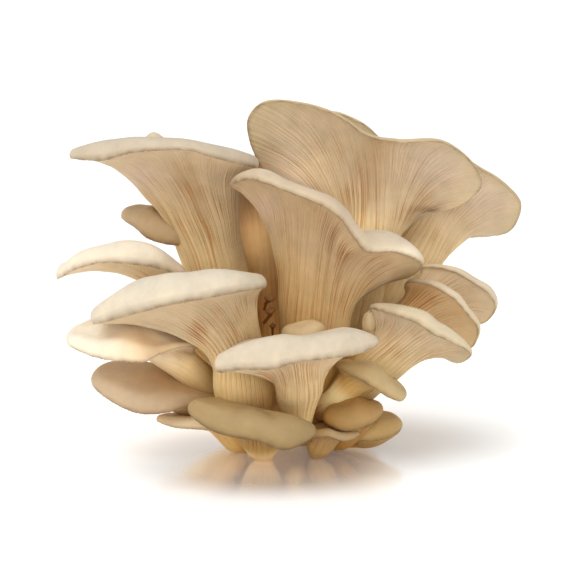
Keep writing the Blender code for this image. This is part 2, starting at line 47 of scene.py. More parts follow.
# stem: centre of each cross-section from the root up, its half width and its half depth.
# rim: points along the margin's gill edge, from the left round the front to the right and the
# back, each with the height of the rounded margin above it.
# hub: the middle of the cap's top.
# crest, inset, rise and reach are given where they differ from the usual ones further down.
MUSHROOMS = {
    "tall_left": {
        "stem": [(-9, 4, 7, 6, 6), (-14, 10, 22, 8, 8), (-21, 18, 43, 10, 10), (-26, 20, 64, 12, 11)],
        "rim": [(-83, 6, 112, 4), (-71, -8, 112, 8.5), (-55, -17, 116, 5.5), (-38, -20, 117, 4.5),
                (-23, -17, 113, 5.5), (-11, -3, 109, 5), (-14, 16, 109, 4), (-28, 38, 109, 3),
                (-52, 46, 112, 3), (-73, 30, 111, 3.5)],
        "hub": (-33, 20, 104)},
    "tall_centre": {
        "crest": 1.3,
        "stem": [(6, -4, 11, 7, 7), (10, -8, 31, 10, 9), (11, -11, 49, 13.5, 11)],
        "rim": [(-21, -8, 102, 5), (-13, -22, 106, 5), (-1, -32, 103, 4), (8, -36, 100, 4),
                (15, -37, 97, 4), (21, -36, 92, 4), (26, -34, 85, 4.5), (31, -32, 80, 5.5),
                (42, -27, 79, 5), (52, -14, 73, 2.5), (46, 4, 65, 2.5), (33, 16, 67, 3),
                (14, 18, 84, 3), (-8, 8, 97, 3)],
        "hub": (11, -8, 80)},
    "tall_rear": {
        "stem": [(13, 12, 6, 7, 7), (24, 22, 34, 9, 9), (31, 28, 69, 11, 10)],
        "rim": [(-10, 26, 107, 2), (-14, 18, 118, 2), (-14, 14, 127, 2), (-7, 12, 133, 2),
                (7, 12, 132, 2), (21, 14, 127, 2.5), (33, 17, 119, 3), (45, 16, 117, 3),
                (61, 14, 117, 2.5), (73, 16, 109, 2), (77, 19, 100, 2), (70, 22, 92, 2),
                (58, 27, 88, 2), (48, 36, 86, 2), (38, 52, 85, 2.5), (18, 54, 87, 2.5),
                (-4, 41, 95, 2.5)],
        "hub": (30, 34, 98)},
    "back_tall": {
        "crest": 0.5,
        "stem": [(11, 24, 7, 6, 6), (18, 42, 35, 8, 8), (22, 54, 70, 9, 9)],
        "rim": [(-4, 68, 104, 2.5), (4, 56, 120, 2.5), (18, 50, 126, 2.5), (27, 50, 124, 2.5),
                (36, 54, 118, 2.5), (41, 64, 110, 2.5), (32, 86, 108, 3), (11, 90, 108, 3)],
        "hub": (19, 70, 102)},
    "tall_right": {
        "stem": [(17, 14, 5, 6, 6), (34, 30, 35, 8, 8), (49, 38, 63, 10.5, 8)],
        "rim": [(48, 46, 96, 2.5), (64, 40, 110, 2.5), (79, 36, 104, 2.5), (88, 34, 98, 2.5),
                (94, 34, 90, 2.5), (91, 40, 80, 2.5), (83, 50, 76, 2.5), (70, 60, 75, 2.5),
                (55, 64, 79, 2.5)],
        "hub": (69, 50, 88)},
    "right_upper": {
        "stem": [(18, 10, 9, 5, 5), (34, 14, 27, 6, 6), (46, 14, 43, 8, 7)],
        "rim": [(54, 14, 68, 2.5), (64, 5, 68, 3.5), (72, 2, 64, 3.5), (79, 3, 59, 4),
                (82, 9, 52, 3), (77, 18, 45, 3), (68, 32, 47, 3), (56, 32, 59, 3)],
        "hub": (63, 18, 58)},
    "right_middle": {
        "stem": [(16, -2, 11, 5, 5), (31, -1, 28, 6, 6), (41, -2, 41, 8, 7)],
        "rim": [(46, 0, 63, 3), (52, -8, 65, 3.5), (59, -13, 63, 4), (65, -15, 59, 4),
                (70, -14, 53, 3.5), (74, -9, 47, 3), (72, 2, 38, 2.5), (64, 12, 39, 3),
                (52, 12, 52, 3)],
        "hub": (58, 0, 54)},
    "right_lower": {
        "stem": [(15, -10, 14, 6, 6), (25, -13, 24, 8, 7), (36, -16, 35, 9, 8)],
        "rim": [(32, -14, 56, 3), (37, -21, 56, 5), (42, -26, 55, 6), (49, -30, 53, 6.5),
                (55, -32, 49, 6.5), (62, -31, 46, 5), (70, -25, 40, 2), (65, -14, 35, 2),
                (57, -3, 39, 3), (42, -3, 49, 3)],
        "hub": (50, -16, 48)},
    "right_bud": {
        "stem": [(14, -8, 24, 2, 2), (26, -12, 36, 2.4, 2.4), (31.7, -15.7, 44.5, 2.5, 2.5)],
        "rim": [(29.3, -16, 48, 7), (32, -18.6, 48, 7), (34.7, -16, 48, 7),
                (32, -13.4, 48, 7)],
        "hub": (32, -16, 55.8),
        "inset": 0.3},
    "centre_bud": {
        "stem": [(5, -16, 29, 3, 3), (7, -22, 41, 5, 4)],
        "rim": [(-1, -26, 47, 4.5), (4, -31, 46, 5), (10, -32, 47, 5), (15, -28, 49, 4.5),
                (12, -20, 49, 5), (5, -20, 48, 5)],
        "hub": (8, -25, 53)},
    "front_centre": {
        "stem": [(5, -16, 8, 5, 5), (5, -26, 16, 5.5, 5), (5, -38, 30, 9, 7)],
        "rim": [(-25, -48, 38, 7), (-16, -57, 40, 10), (-5, -62, 41, 11), (5, -64, 44, 8.5),
                (18, -61, 45, 8.5), (28, -55, 46, 9), (34, -46, 48, 4), (24, -34, 48, 5),
                (6, -30, 44, 5), (-14, -34, 43, 5)],
        "hub": (6, -44, 48),
        "reach": 0.65,
        "rise": 0.3},
    "front_left": {
        "stem": [(-9, -10, 11, 5, 5), (-12, -19, 17.5, 6, 6), (-14, -25, 22, 10, 8.5),
                 (-15.5, -27, 28, 11.3, 9), (-17, -26, 36, 10, 8)],
        "rim": [(-72, -26, 52, 7), (-59, -39, 57, 12), (-44, -47, 62, 11), (-29, -49, 65, 10.5),
                (-16, -45, 67, 9), (-7, -32, 67, 6), (-13, -14, 66, 4), (-31, -3, 62, 4),
                (-52, -2, 58, 4), (-66, -10, 55, 4)],
        "hub": (-28, -24, 64)},
    "left_middle": {
        "stem": [(-13, 2, 10, 5, 5), (-22, 5, 31, 6.5, 7), (-33, 6, 50, 7, 7)],
        "rim": [(-88, 2, 65, 7), (-81, -10, 70, 7.5), (-70, -18, 74, 7.5), (-58, -21, 74, 9),
                (-45, -17, 71, 9), (-38, -4, 66, 5), (-44, 16, 68, 4), (-63, 22, 70, 4),
                (-81, 16, 68, 4)],
        "hub": (-56, 0, 74),
        "reach": 0.55},
    "left_small": {
        "stem": [(-12, 10, 10, 5, 5), (-22, 20, 38, 6, 6), (-31, 28, 66, 7, 7)],
        "rim": [(-65, 30, 86, 4), (-59, 20, 83, 8), (-53, 15, 79, 9), (-43, 14, 77, 8),
                (-34, 24, 78, 5), (-38, 42, 86, 4), (-51, 48, 86, 4), (-62, 42, 87, 4)],
        "hub": (-48, 32, 90),
        "reach": 0.6,
        "rise": 0.35},
    "left_low": {
        "stem": [(-15, -6, 12, 5, 5), (-27, -11, 24, 6, 6), (-38, -14, 34, 6.5, 6)],
        "rim": [(-83, -17, 44, 4), (-73, -27, 40, 6), (-62, -33, 39, 7), (-53, -32, 38.5, 6),
                (-47, -25, 40.5, 3), (-40, -20, 42, 2), (-33, -12, 42, 2), (-42, 0, 46, 3),
                (-59, 8, 48, 4), (-74, -1, 48, 4)],
        "hub": (-58, -12, 52.5)},
    "left_lowest": {
        "stem": [(-14, -5, 8, 4, 4), (-20, -7, 10, 4.5, 4), (-26, -9, 13, 5, 4)],
        "rim": [(-74, -14, 28, 4), (-68, -24, 23.5, 6), (-56, -31, 19, 7), (-45, -31, 19, 6.5),
                (-36, -26, 21, 4), (-27, -18, 21.5, 2), (-22, -8, 22, 2), (-34, 5, 26, 3),
                (-55, 14, 28, 4), (-69, 2, 30, 4)],
        "hub": (-48, -8, 32)},
    "bottom_front": {
        "stem": [(-8, -26, 0, 3, 3), (-8.5, -27, 4, 5.6, 5), (-9, -31, 9, 8.3, 6.5)],
        "rim": [(-36, -38, 21, 5), (-29, -45, 16, 9), (-20, -51, 14, 10), (-10, -55, 13, 10),
                (-1, -56, 10, 10.5), (7, -53, 12, 9), (11, -44, 14, 4), (3, -34, 13, 5),
                (-13, -30, 15, 6), (-28, -29, 20, 6)],
        "hub": (-13, -42, 24)},
    "bottom_left": {
        "stem": [(-17, -12, 0, 2.5, 2.5), (-18.5, -12.5, 3, 3.8, 3.6), (-21, -14, 6.5, 4.2, 3.6)],
        "rim": [(-49, -16, 13, 2.5), (-42, -24, 12, 4), (-32, -28, 12, 4.5), (-25, -26, 11, 4),
                (-19, -16, 11, 3), (-31, -5, 11, 3), (-44, -8, 12, 3)],
        "hub": (-36, -15, 15),
        "reach": 0.7,
        "rise": 0.2},
    "bottom_right": {
        "stem": [(12, -23, 0, 2.5, 2.5), (12.5, -23.5, 3, 4.4, 4), (13.5, -24.5, 5.5, 5.2, 4.4)],
        "rim": [(5.5, -27, 8.5, 2.5), (11, -34, 10, 3), (16, -37, 11, 3), (22, -36, 9, 3.5),
                (28, -29, 10, 2.5), (23, -17, 10, 2.5), (12, -15, 9.5, 2.5)],
        "hub": (17, -28, 12)},
    "right_oval": {
        "stem": [(12, -6, 5, 4, 4), (21, -17, 6, 4, 4), (25, -22, 10, 4.5, 4)],
        "rim": [(15, -26, 15, 6), (19, -33, 13, 8), (26, -35, 13, 9), (33, -32, 15, 9),
                (37, -24, 18, 5), (33, -13, 17, 5), (21, -14, 16, 5)],
        "hub": (27, -23, 24)},
    "right_back": {
        "stem": [(14, -2, 4.5, 3, 3), (20, -5, 3.6, 3, 3), (27, -9, 3.8, 3.2, 3)],
        "rim": [(20, -14, 9, 3), (26, -22, 7, 4.5), (33, -23, 6.5, 6), (40, -18, 7, 6.5),
                (45, -9, 9, 4), (40, 3, 10, 4), (27, 3, 10, 4)],
        "hub": (33, -8, 14)},
    "right_small": {
        "stem": [(14, -12, 16, 5, 5), (20, -18, 22, 5.5, 5), (25, -22, 28, 5.5, 5)],
        "rim": [(19, -28, 36, 4), (25, -36, 34, 6), (32, -39, 30.5, 7), (38, -38, 26.5, 6),
                (43, -34, 24, 4), (45, -27, 24.5, 3), (42, -19, 27, 3), (33, -14, 32, 3),
                (23, -17, 35, 3)],
        "hub": (33, -26, 38)},
    "rear_left": {
        "stem": [(0, 16, 7, 5, 5), (-5, 26, 37, 7, 7), (-9, 34, 71, 9, 8)],
        "rim": [(-30, 58, 98, 2.5), (-21, 42, 104, 2.5), (-13, 33, 107, 2.5), (-8, 31, 108, 2.5),
                (-6, 38, 104, 2.5), (-11, 60, 100, 2.5), (-17, 78, 100, 3), (-28, 74, 98, 3)],
        "hub": (-17, 54, 98)},
    "rear_left_tall": {
        "stem": [(-8, 20, 6, 6, 6), (-24, 40, 38, 7, 7), (-38, 58, 78, 9, 8)],
        "rim": [(-63, 66, 104, 3), (-55, 52, 115.5, 3.5), (-44, 50, 110, 3), (-34, 56, 105, 3),
                (-34, 78, 100, 3), (-44, 94, 98, 4), (-60, 86, 100, 4)],
        "hub": (-47, 70, 98)},
    "rear_right": {
        "stem": [(12, 24, 6, 6, 6), (22, 42, 28, 7, 7), (40, 58, 40, 8, 8)],
        "rim": [(28, 66, 53, 3), (46, 58, 56, 3), (60, 60, 56, 3), (70, 70, 53, 3),
                (66, 86, 50, 4), (46, 92, 48, 4), (30, 82, 49, 4)],
        "hub": (50, 74, 51)},
    "rear_middle": {
        "stem": [(2, 24, 7, 6, 6), (4, 46, 22, 8, 8), (5, 60, 38, 10, 9)],
        "rim": [(-20, 70, 52, 3), (-6, 60, 55, 3), (12, 60, 55, 3), (24, 70, 52, 3),
                (20, 88, 47, 4), (2, 95, 45, 4), (-14, 86, 47, 4)],
        "hub": (4, 76, 50)},
    "rear_left_low": {
        "stem": [(-12, 20, 5, 5, 5), (-28, 34, 18, 7, 7), (-40, 44, 30, 8, 8)],
        "rim": [(-72, 48, 42, 4), (-58, 38, 44, 4), (-42, 40, 44, 4), (-30, 50, 42, 4),
                (-36, 68, 38, 4), (-52, 74, 36, 4), (-68, 64, 38, 4)],
        "hub": (-52, 54, 44)},
    "rear_right_low": {
        "stem": [(12, 14, 4, 4, 4), (21, 32, 6, 4, 4), (26, 39, 10, 4.5, 4)],
        "rim": [(16, 40, 15, 3), (23, 30, 16, 3), (32, 29, 16, 3), (38, 38, 15, 3),
                (36, 49, 13, 3), (28, 53, 12, 3), (19, 49, 13, 3)],
        "hub": (28, 40, 18)},
    "rear_low": {
        "stem": [(-4, 26, 8, 5, 5), (-12, 40, 10, 6, 6), (-16, 50, 17, 7, 7)],
        "rim": [(-34, 56, 26, 3), (-24, 46, 28, 3), (-10, 48, 28, 3), (0, 58, 26, 3),
                (-6, 72, 21, 4), (-20, 76, 20, 4), (-32, 68, 22, 4)],
        "hub": (-17, 60, 28)},
}

# The base: height, centre and half sizes of each level, from the cut face up.
BASE_LEVELS = [(0, 0, 13, 17, 15), (5, 0, 12, 20, 18), (12, 1, 8, 22, 20), (20, 1, 5, 22, 20),
               (28, 0, 4, 17, 16), (33, 0, 4, 9, 9)]
BASE_ROWS = 30
BASE_COLUMNS = 160
BASE_SEED = 90

# Full-length gills of each mushroom. Shorter ones stand between them near the margin.
GILLS = {"tall_left": 46, "tall_centre": 46, "tall_rear": 48, "tall_right": 34, "back_tall": 26,
         "front_left": 40, "front_centre": 34, "left_middle": 28, "left_small": 20,
         "left_low": 20, "left_lowest": 20, "right_upper": 26, "right_middle": 26,
         "right_lower": 30, "right_small": 20, "bottom_front": 22, "right_bud": 8,
         "centre_bud": 10, "rear_left": 18, "rear_left_tall": 16, "rear_right": 18,
         "rear_middle": 18, "bud_upper": 5, "bud_lower": 5, "bud_lowest": 4}
USUAL_GILLS = 13
# After each full-length gill come a short, a middling and a short one, each in its own slot.
FULL, MIDDLING, SHORT = 0, 1, 2
SLOT_KINDS = [FULL, SHORT, MIDDLING, SHORT]
# Where each kind starts, from and to: -1 is the root, 0 the top of the stem, 1 the margin.
GILL_STARTS = [(-1.1, -0.35), (0.10, 0.45), (0.42, 0.75)]
# Across one slot: the columns of points, the gill's height, and how strongly the margin's line
# shows. Slots differ in width by this share.
SLOT_STEPS = 4
RIDGE = np.array([0.0, 0.62, 1.0, 0.62])
LINE_ACROSS_SLOT = [0.55, 0.8, 1.0, 0.8]
SLOT_SPREAD = 0.26

# How strongly the ribs stand out on each mushroom.
RIBS = {"right_bud": 0.0, "rear_left": 0.35, "centre_bud": 0.1, "left_low": 0.2,
        "left_lowest": 0.2, "bottom_front": 0.45, "bottom_left": 0.3,
        "right_oval": 0.2, "right_back": 0.3, "right_small": 0.4, "left_small": 0.3,
        "left_middle": 0.6, "tall_right": 0.55, "back_tall": 0.3, "right_upper": 0.6,
        "right_middle": 0.7, "right_lower": 0.75, "bottom_right": 0.6, "tall_rear": 0.85}

# How each mushroom differs in colour from the usual one: warmer and darker, or paler. These tints are
# partly each mushroom's own colour and partly painted light and shade: darker and browner for
# mushrooms that sit in shade, paler for brightly lit caps.
TINTS = {"bottom_front": (0.59, 0.49, 0.30), "right_lower": (0.92, 0.93, 0.94),
         "right_middle": (1.03, 0.94, 0.80), "left_middle": (1.25, 1.3, 1.38),
         "left_low": (1.27, 1.33, 1.42), "right_oval": (0.72, 0.54, 0.28),
         "right_back": (0.81, 0.66, 0.37), "right_small": (0.82, 0.72, 0.49),
         "bottom_right": (0.78, 0.68, 0.54), "bottom_left": (1.0, 0.96, 0.86),
         "centre_bud": (0.90, 0.82, 0.67), "left_small": (0.78, 0.67, 0.51),
         "left_lowest": (0.80, 0.71, 0.61), "rear_left": (1.0, 0.9, 0.75),
         "back_tall": (1.14, 1.26, 1.43), "tall_centre": (0.81, 0.74, 0.65),
         "right_bud": (0.82, 0.75, 0.62), "bud_upper": (0.42, 0.25, 0.15),
         "bud_lower": (0.50, 0.31, 0.20), "bud_lowest": (0.36, 0.21, 0.13)}
# Caps and stems that differ in colour from their own gills. Like the tints above, these are partly
# their own colour and partly painted light and shade; the strongly lightened stems, such as
# right_small's and front_centre's, are painted light where those stems stand in shade.
CAP_TINTS = {"back_tall": (1.08, 1.12, 1.18), "tall_left": (0.86, 0.86, 0.87),
             "front_left": (1.04, 1.08, 1.13), "front_centre": (0.97, 0.98, 1.0),
             "tall_centre": (0.90, 0.86, 0.82),
             "right_middle": (1.03, 1.02, 0.99), "right_lower": (1.0, 1.0, 0.93),
             "tall_right": (0.9, 0.88, 0.84), "tall_rear": (0.92, 0.88, 0.82)}
STEM_TINTS = {"bottom_front": (0.99, 1.0, 1.1), "right_small": (1.2, 1.42, 1.8),
              "bottom_right": (0.72, 0.64, 0.57), "left_low": (0.64, 0.59, 0.53),
              "tall_centre": (0.84, 0.82, 0.70),
              "front_centre": (1.2, 1.27, 1.4), "tall_left": (1.08, 1.12, 1.14)}

# Stains and painted light and shade: where each patch is, how far it reaches in mm, and what the
# flesh is multiplied by there. The orange-brown patches on the gills are stains; the dark ones in
# gaps and crevices are painted shade and painted shadow, and some lighter ones are painted light.
STAINS_AND_PAINTED_LIGHT = {
    # tall_left: a stain high on the gills, lighter flesh low on the gills, and paler flesh towards
    # the left margin.
    "tall_left": [((-36, 18, 108), (6, 30, 13), (0.82, 0.68, 0.52)),
                  ((-34, 10, 74), (12, 30, 14), (1.12, 1.16, 1.14)),
                  ((-55, 15, 105), (10, 30, 8), (1.08, 1.1, 1.3))],
    # tall_centre: a stain, and paler flesh to the left.
    "tall_centre": [((11, -14, 93), (8, 30, 9), (0.80, 0.68, 0.54)),
                    ((-7, -14, 96), (6, 30, 6), (1.05, 1.05, 1.25))],
    # tall_rear: a stain; painted light on two patches of gill that lie in shade, low left and low
    # middle; paler flesh to the right; and a thin painted shadow line along the lower edge of the
    # right lobe.
    "tall_rear": [((35, 18, 112), (6, 40, 14), (0.80, 0.68, 0.54)),
                  ((0, 18, 105), (14, 30, 8), (1.35, 1.38, 1.5)),
                  ((34, 12, 86), (9, 30, 5), (1.12, 1.15, 1.15)),
                  ((60, 16, 108), (12, 30, 10), (0.98, 1.02, 1.2)),
                  ((55, 16, 89.6), (6, 30, 1.3), (0.50, 0.40, 0.30))],
    # tall_right: painted shade on the left of the gills, behind tall_rear's stem, and paler flesh
    # higher up.
    "tall_right": [((49, 20, 82), (8, 40, 8), (0.76, 0.68, 0.56)),
                   ((72, 20, 96), (20, 40, 16), (1.02, 1.05, 1.22))],
    "right_middle": [((49, -6, 61), (9, 30, 5), (0.85, 0.66, 0.45))],
    # rear_left: painted shade in the crevice low down, painted light on the rounded lobe above it,
    # and painted shadow above that under the neighbours' caps.
    "rear_left": [((-8, 0, 54), (8, 60, 12), (0.70, 0.48, 0.34)),
                  ((-11, 25, 82), (8, 14, 10), (1.15, 1.08, 0.98)),
                  ((-10, 30, 97), (12, 12, 6), (0.45, 0.32, 0.24))],
    # front_left: painted shade in the gap beside its stem.
    "front_left": [((-8, -34, 21), (9, 14, 6), (0.72, 0.56, 0.48))],
    # Painted shadow in the deep crevice by the right feet, on each piece that passes through it.
    "bottom_right": [((12, -20, 15.5), (5, 25, 5), (0.45, 0.25, 0.12))],
    "right_oval": [((12, -20, 15.5), (5, 25, 5), (0.3, 0.12, 0.05))],
    "right_back": [((12, -20, 15.5), (5, 25, 5), (0.45, 0.25, 0.12))],
    "right_small": [((12, -20, 15.5), (5, 25, 5), (0.3, 0.12, 0.05))],
    "base": [((12, -20, 15.5), (5, 25, 5), (0.45, 0.25, 0.12))],
}
# The same for the caps' tops, all painted light and shade: a painted highlight on the lit top of
# tall_centre's lobe, and painted shade on left_low's and left_lowest's caps where the cap above
# shades them.
CAP_PAINTED_LIGHT = {
    "tall_centre": [((41, -20, 78), (12, 30, 4), (1.55, 1.7, 1.9))],
    "left_low": [((-54, -15, 44), (10, 25, 8), (1.08, 0.84, 0.56))],
    "left_lowest": [((-46, -10, 28), (10, 25, 6), (0.84, 0.68, 0.52))],
}
# Painted light: where the flesh glows, as if light came through it, to brighten parts in shade: the
# place, how far the glow reaches in mm, and how strongly.
PAINTED_GLOW_SPOTS = {
    "rear_left": [((-12, 26, 80), (7, 10, 9), 0.34)],
    "tall_rear": [((5, 18, 100), (11, 14, 8), 0.26), ((33, 12, 85), (9, 14, 5), 0.12)],
    "tall_centre": [((40, -20, 80), (9, 12, 4), 0.12)],
    "bottom_front": [((-9, -30, 4), (9, 14, 6), 0.24)],
    "bottom_left": [((-25, -20, 6), (16, 20, 8), 0.14)],
    "right_small": [((22, -20, 25), (7, 20, 7), 0.30)],
    "left_low": [((-54, -15, 44), (9, 25, 6), 0.12)],
    "front_centre": [((6, -30, 14), (8, 20, 8), 0.12)],
}

# Withered buds in the gap between the front left mushroom and the tall middle one, grown from
# the one behind them, the node that they ride with.
TINY_BUDS = {
    "bud_upper": {
        "stem": [(-8, -3, 54, 0.7, 0.7), (-7.4, -8, 57, 0.7, 0.7), (-6.4, -12, 58.8, 0.8, 0.8)],
        "rim": [(-8, -13, 60, 1.3), (-6, -15, 59, 1.3), (-3.9, -13, 59.4, 1.3), (-6, -11, 60, 1.3)],
        "hub": (-6, -13, 61.8),
        "node": "rear_left"},
    "bud_lower": {
        "stem": [(-8, -3, 49, 0.7, 0.7), (-6.6, -8, 51.5, 0.7, 0.7), (-5.6, -12, 53.6, 0.8, 0.8)],
        "rim": [(-7.3, -13, 54.2, 1.4), (-5.4, -14.8, 54.4, 1.4), (-3.5, -13, 55.4, 1.4),
                (-5.4, -11.2, 55, 1.4)],
        "hub": (-5.4, -13, 56.9),
        "node": "rear_left"},
    "bud_lowest": {
        "stem": [(-7, -3, 38, 0.5, 0.5), (-5, -9, 43, 0.5, 0.5), (-4.8, -13, 47.6, 0.5, 0.5)],
        "rim": [(-5.9, -14, 49, 0.9), (-4.7, -15.2, 48.8, 0.9), (-3.5, -14, 49.4, 0.9),
                (-4.7, -12.8, 49.4, 0.9)],
        "hub": (-4.7, -14, 50.8),
        "node": "rear_left"},
}

# The rows of points: up the stem, from there out to the margin, round the margin (in degrees,
# from just under its edge up to its crest) and from the crest to the hub.
STEM_PLACES = np.linspace(0, 1, 13)
FLARE_PLACES = np.concatenate([np.linspace(0.035, 0.950, 24), [0.972, 0.987, 1.0]])
MARGIN_ROWS = 8
MARGIN_START = -25
MARGIN_END = 90
MARGIN_TURNS = np.linspace(MARGIN_START, MARGIN_END, MARGIN_ROWS + 1)[1:]
TOP_PLACES = np.linspace(0.08, 0.94, 12)
# The usual shape of the gill side: how far it follows the stem's direction before it opens
# (rise), and the rim's plane before it ends (reach).
FLARE_RISE = 0.45
FLARE_REACH = 0.45
# The usual margin: its height as a share of the table's, and how far its crest leans inward as
# a share of that height.
CREST_HEIGHT = 1
CREST_INSET = 0.8
# Rims shorter than this many mm have smaller waves.
FULL_RIM = 150
# Margins up to THIN mm high look olive, and those of THICK mm and more don't.
THIN = 2.2
THICK = 4.2
# How strongly the margin's brown line shows on buds, compared with the others.
BUD_LINE = 0.15
# Each mushroom draws from its own runs of random numbers.
FIRST_SEED = 100
SEED_STEP = 10

# Colours as they look in plain white light, red, green, blue from 0 to 1.
CAP = (0.880, 0.825, 0.735)
CAP_EDGE = (0.860, 0.790, 0.680)
MARGIN_LINE = (0.46, 0.37, 0.25)
GILL = (0.835, 0.745, 0.615)
GILL_EDGE = (0.830, 0.755, 0.610)
GILL_LOW = (0.890, 0.785, 0.600)
STEM = (0.890, 0.785, 0.570)
ROOT = (0.88, 0.75, 0.54)
# Painted shade: the colour that the flesh takes deep in the grooves between the gills.
GROOVE_SHADE = (0.72, 0.55, 0.36)
STAIN = (0.66, 0.42, 0.22)
# What the flesh is multiplied by in the middle of the bunch, where that is, how much each direction
# counts, and from which distance the colour starts to fade and ends. This browner, darker middle is
# partly the flesh's own colour near the base and partly painted shade in the crowded middle.
WARM_AND_SHADE = (0.98, 0.86, 0.62)
WARM_MIDDLE = np.array([-2, 2, 22])
WARM_SHAPE = np.array([1.0, 1.0, 0.8])
WARM_FADE = (14, 58)

# The camera: the height it looks at, its distance, how far above level it stands in degrees,
# its lens and sensor in mm, and how far it sees in metres.
AIM_HEIGHT = 63.2
CAMERA_AWAY = 900
CAMERA_LIFT = 8
LENS = 147.2
SENSOR_WIDTH = 36
SIGHT = 60
SUNLIGHT = (1.0, 0.985, 0.96)

# The floor: half its width in metres, its colour far from the bunch and in front of it, the middle of
# its glossy part, and a second place round which it glows less. The warmer colour in front is
# painted: it warms the shade and the reflection under the bunch.
FLOOR_HALF = 20.0
FLOOR_PALE = (0.95, 0.95, 0.945, 1)
FLOOR_WARM_SHADE = (0.95, 0.88, 0.79, 1)
FRONT_MIDDLE = (-5, -35, 0)
RIGHT_MIDDLE = (32, 5, 0)

# Where the node that brings two colours together takes them in and gives their result.
MIX_FIRST = 6
MIX_SECOND = 7
MIX_RESULT = 2


def linear(colour):
    """A colour as it looks, turned into the amounts of light that it reflects."""
    value = np.asarray(colour, float)
    return np.where(value <= 0.04045, value / 12.92, ((value + 0.055) / 1.055) ** 2.4)


def mixed(first, second, share):
    """The first colour at share 0, the second at share 1."""
    share = np.clip(share, 0, 1)[..., None]
    return first * (1 - share) + second * share


def step_up(low, high, value):
    """Rises smoothly from 0 at low to 1 at high."""
    place = np.clip((value - low) / (high - low), 0, 1)
    return place * place * (3 - 2 * place)


def unit(values):
    """The same directions with length 1."""
    return values / np.maximum(np.linalg.norm(values, axis=-1, keepdims=True), 1e-9)


def curve_through(values, places, closed):
    """A smooth curve through the values (one a row), at places from 0 to 1."""
    count = len(values)
    spans = count if closed else count - 1
    spots = np.asarray(places, float) * spans
    whole = np.minimum(np.floor(spots).astype(int), spans - 1 if not closed else spans)
    part = (spots - whole)[:, None]
    if closed:
        padded = values[(np.arange(-1, count + 3)) % count]
    else:
        padded = np.vstack([2 * values[0] - values[1], values, 2 * values[-1] - values[-2]])
    before, start, end = padded[whole], padded[whole + 1], padded[whole + 2]
    after = padded[np.minimum(whole + 3, len(padded) - 1)]
    slope_in = (end - before) * 0.5
    slope_out = (after - start) * 0.5
    square = part ** 2
    cube = part ** 3
    return (start * (2 * cube - 3 * square + 1) + slope_in * (cube - 2 * square + part)
            + end * (3 * square - 2 * cube) + slope_out * (cube - square))


def ripple(turns, waves, seed):
    """A wavy line that closes on itself: turns is 0 to 1 round, waves are (low, high, size)."""
    chance = np.random.default_rng(seed)
    total = np.zeros_like(turns)
    for low, high, size in waves:
        counts = np.arange(low, high + 1)
        sizes = size * chance.normal(size=len(counts)) / math.sqrt(len(counts))
        phases = chance.uniform(0, 2 * math.pi, len(counts))
        for count, tall, phase in zip(counts, sizes, phases):
            total += tall * np.sin(2 * math.pi * count * turns + phase)
    return total


def patchy(places, scale, seed):
    """Soft patches in space, about -1 to 1, of roughly the given size."""
    chance = np.random.default_rng(seed)
    total = np.zeros(places.shape[:-1])
    for _ in range(10):
        way = chance.normal(size=3)
        way *= chance.uniform(0.6, 1.6) * 2 * math.pi / (scale * np.linalg.norm(way))
        total += np.sin(places @ way + chance.uniform(0, 2 * math.pi))
    return total / 3.5


def uneven_turns(slots, seed):
    """Where the columns stand round the rim: each slot between gills has its own width."""
    chance = np.random.default_rng(seed + 1)
    widths = np.exp(chance.normal(scale=SLOT_SPREAD, size=slots))
    starts = np.concatenate([[0], np.cumsum(widths)]) / widths.sum()
    places = np.arange(slots * SLOT_STEPS) / SLOT_STEPS
    return np.interp(places, np.arange(slots + 1), starts)


def even_rim(rim, turns):
    """Points, margin heights and length of the rim, at turns measured along its length."""
    values = np.array(rim, float)
    spots = np.linspace(0, 1, 801)
    fine = curve_through(values, spots, True)
    lengths = np.concatenate([[0], np.cumsum(np.linalg.norm(np.diff(fine[:, :3], axis=0), axis=1))])
    places = np.interp(turns * lengths[-1], lengths, spots)
    found = curve_through(values, places, True)
    return found[:, :3], found[:, 3], lengths[-1]


def angles_round(points, turns, side, deep):
    """Where each column stands round the stem, halfway between its own angle and an even one."""
    middle = points.mean(axis=0)
    angles = np.unwrap(np.arctan2((points - middle) @ deep, (points - middle) @ side))
    even = angles[0] + 2 * math.pi * turns
    return 0.5 * angles + 0.5 * even


def bend(start, leave, arrive, end, place):
    """A curve from start to end, drawn towards leave and arrive on its way."""
    left = 1 - place
    return (start * left ** 3 + leave * 3 * left ** 2 * place
            + arrive * 3 * left * place ** 2 + end * place ** 3)


def neck_frame(plan):
    """The stem's direction at its top, and two directions across it."""
    values = np.array(plan["stem"], float)[:, :3]
    along = unit((curve_through(values, [1.0], False) - curve_through(values, [0.98], False))[0])
    side = unit(np.array([1.0, 0, 0]) - along * along[0])
    return along, side, np.cross(along, side)


def stem_rings(plan, angles):
    """Rings up the stem, as an array of rows by columns by 3."""
    values = np.array(plan["stem"], float)
    centres = curve_through(values, STEM_PLACES, False)
    ahead = curve_through(values[:, :3], np.minimum(STEM_PLACES + 0.02, 1), False)
    behind = curve_through(values[:, :3], np.maximum(STEM_PLACES - 0.02, 0), False)
    along = unit(ahead - behind)
    stands_on_floor = values[0, 2] < 1
    if stands_on_floor:
        share = np.clip(1 - STEM_PLACES * 3, 0, 1)[:, None]
        along = unit(along * (1 - share) + np.array([0, 0, 1.0]) * share)
    side = unit(np.array([1.0, 0, 0]) - along * along[:, :1])
    deep = np.cross(along, side)
    wide = centres[:, 3, None, None] * np.cos(angles)[None, :, None]
    thick = centres[:, 4, None, None] * np.sin(angles)[None, :, None]
    return centres[:, None, :3] + side[:, None] * wide + deep[:, None] * thick


